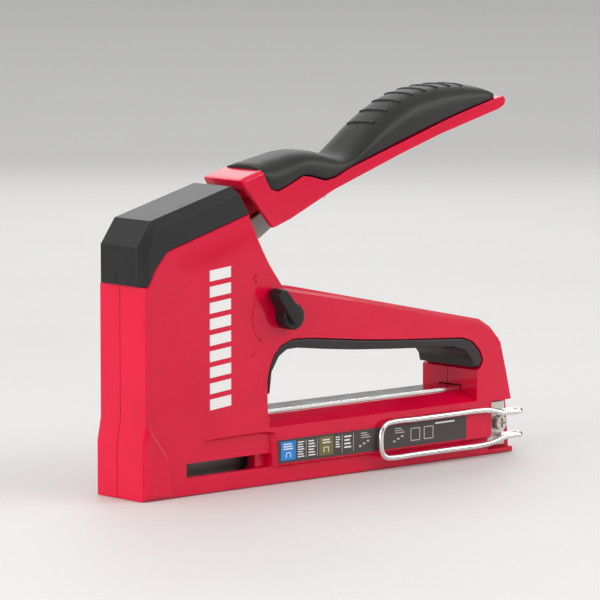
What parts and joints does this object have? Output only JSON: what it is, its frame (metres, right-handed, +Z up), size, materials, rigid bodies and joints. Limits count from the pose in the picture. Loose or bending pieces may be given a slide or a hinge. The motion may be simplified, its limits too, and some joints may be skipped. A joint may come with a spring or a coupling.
{
  "type": "staple gun",
  "caption": "Hand-operated staple gun with a die-cast casing, squeeze handle, spring hammer, power knob, pull-out staple magazine and wire belt clip.",
  "frame": {"origin": "on the flat sole, in the middle plane, below the upper front face of the nose", "axes": "+X from the nose to the rear, -Y towards the side with the power knob and belt clip, +Z up from the sole"},
  "size_m": [0.205, 0.041, 0.156],
  "materials": {
    "cast_red": "glossy red enamel on die-cast aluminium, slight orange peel",
    "bumper_black": "fine-grained black moulded plastic",
    "grip_rubber": "soft matte black rubber",
    "insert_black": "satin black moulded plastic",
    "bright_steel": "bright plated steel",
    "plated_steel": "zinc-plated pressed steel",
    "dark_steel": "phosphated steel",
    "label_film": "printed dark film",
    "knob_black": "fine-grained black moulded plastic"
  },
  "bodies": {
    "casing": {"left_shell": "cast_red", "right_shell": "cast_red", "top_bumper": "bumper_black", "grip_insert": "insert_black", "magazine_channel": "bright_steel", "nose_plate": "plated_steel", "side_label": "label_film", "clip_wire": "bright_steel", "clip_plate": "plated_steel", "clip_screw": "plated_steel", "shell_screw_front": "plated_steel", "shell_screw_top": "plated_steel", "shell_screw_bar": "plated_steel", "shell_screw_rear": "plated_steel", "pivot_pin": "plated_steel", "spring_seat": "plated_steel", "return_spring": "plated_steel", "main_spring": "plated_steel"},
    "handle": {"handle_shell": "cast_red", "handle_grip": "grip_rubber", "handle_lever": "dark_steel", "handle_rivet_front": "plated_steel", "handle_rivet_rear": "plated_steel"},
    "hammer": {"hammer": "dark_steel", "hammer_pin": "plated_steel", "driver_blade": "plated_steel", "blade_rivet": "plated_steel"},
    "power_dial": {"power_knob": "knob_black", "power_shaft": "plated_steel", "power_cam": "plated_steel"},
    "trip": {"trip_slider": "plated_steel"},
    "magazine": {"staple_rail": "plated_steel", "rail_end_cap": "bumper_black", "guide_rod": "plated_steel", "pusher_spring": "plated_steel"},
    "pusher": {"pusher": "plated_steel"}
  },
  "joints": [
    {"name": "handle_squeeze", "type": "hinge", "parent": "casing", "child": "handle", "pos_m": [0.053, 0, 0.1005], "axis": [0, 1, 0], "range_deg": [0, 30], "stiffness_Nm_per_rad": 1.2, "springref_deg": -28.65},
    {"name": "hammer_lift", "type": "slide", "parent": "casing", "child": "hammer", "axis": [0, 0, 1], "range_m": [0, 0.0162], "deforming": ["main_spring"]},
    {"name": "power_turn", "type": "hinge", "parent": "casing", "child": "power_dial", "pos_m": [0.0706, 0, 0.0682], "axis": [0, -1, 0], "range_deg": [0, 90]},
    {"name": "trip_slide", "type": "slide", "parent": "casing", "child": "trip", "axis": [1, 0, 0], "range_m": [-0.0058, 0]},
    {"name": "magazine_slide", "type": "slide", "parent": "casing", "child": "magazine", "axis": [1, 0, 0], "range_m": [0, 0.11]},
    {"name": "pusher_slide", "type": "slide", "parent": "magazine", "child": "pusher", "axis": [1, 0, 0], "range_m": [0, 0.085], "stiffness_N_per_m": 40, "springref_m": -0.05, "deforming": ["pusher_spring"]}
  ],
  "couplings": [
    {"joint": "hammer_lift", "follows": "handle_squeeze", "m_per_rad": 0.0305},
    {"joint": "trip_slide", "follows": "power_turn", "m_per_rad": -0.0036}
  ]
}
